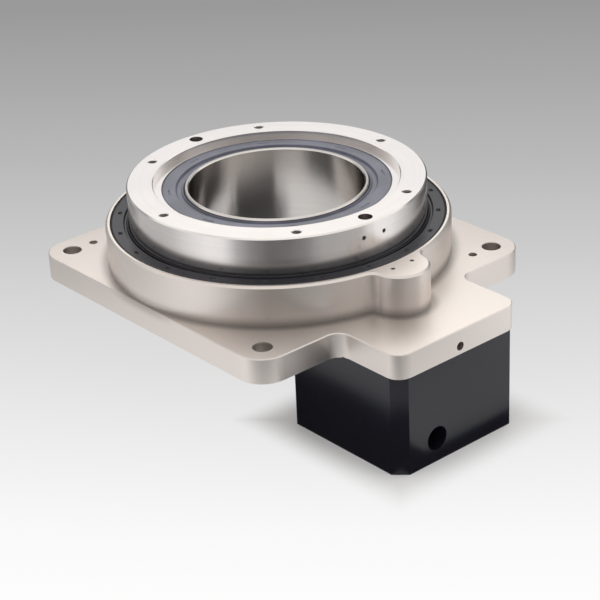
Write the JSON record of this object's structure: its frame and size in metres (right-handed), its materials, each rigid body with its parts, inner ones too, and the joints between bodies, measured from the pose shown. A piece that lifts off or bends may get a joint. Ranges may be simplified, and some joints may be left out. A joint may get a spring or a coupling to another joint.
{
  "type": "hollow rotary platform",
  "caption": "Hollow rotary platform: square base, table turning on a crossed-roller bearing around an open bore, driven by a side pinion and ring gear, with a motor adapter block underneath.",
  "frame": {"origin": "middle of the four mounting holes, on the underside of the base plate, on the axis of the hollow bore", "axes": "+Z along the table's axis, out of the table's face; +X from the hollow bore towards the pinion and the motor adapter"},
  "size_m": [0.245, 0.2, 0.1176],
  "materials": {
    "housing_metal": "satin nickel plated, warm",
    "table_metal": "turned and nickel plated, bright",
    "sleeve_metal": "turned, bright",
    "bearing_steel": "ground",
    "gear_steel": "hobbed and hardened",
    "collar_steel": "black oxide",
    "black_screw": "black oxide",
    "cage_brass": "plain",
    "seal_rubber": "moulded nitrile rubber",
    "black_anodised": "black anodised, satin"
  },
  "bodies": {
    "base": {"base_housing": "housing_metal", "hollow_sleeve": "sleeve_metal", "sleeve_screws": "black_screw", "outer_race_lower": "bearing_steel", "outer_race_upper": "bearing_steel", "outer_race_screws": "black_screw", "outer_oil_seal": "seal_rubber", "motor_adapter": "black_anodised", "adapter_screws": "black_screw", "spigot_set_screw": "black_screw", "shaft_bearing_outer_rings": "bearing_steel", "seat_spacer": "collar_steel", "seat_retaining_ring": "collar_steel", "nose_bearing_outer_ring": "bearing_steel"},
    "table": {"rotary_table": "table_metal", "inner_oil_seal": "seal_rubber", "ring_gear": "gear_steel", "ring_gear_screws": "black_screw", "inner_race": "bearing_steel", "inner_race_screws": "black_screw"},
    "pinion": {"pinion_shaft": "gear_steel", "clamp_collar": "collar_steel", "clamp_screw": "black_screw", "shaft_bearing_inner_rings": "bearing_steel", "shaft_spacer": "collar_steel", "shaft_retaining_ring": "collar_steel", "nose_bearing_inner_ring": "bearing_steel"},
    "rollers": {"crossed_rollers": "bearing_steel", "roller_cage": "cage_brass"}
  },
  "joints": [
    {"name": "table_spin", "type": "hinge", "parent": "base", "child": "table", "pos_m": [0, 0, 0], "axis": [0, 0, 1], "continuous": true},
    {"name": "pinion_spin", "type": "hinge", "parent": "base", "child": "pinion", "pos_m": [0.1, 0, 0], "axis": [0, 0, 1], "continuous": true},
    {"name": "roller_orbit", "type": "hinge", "parent": "base", "child": "rollers", "pos_m": [0, 0, 0], "axis": [0, 0, 1], "continuous": true}
  ],
  "couplings": [
    {"joint": "pinion_spin", "follows": "table_spin", "ratio": -10},
    {"joint": "roller_orbit", "follows": "table_spin", "ratio": 0.48417}
  ]
}
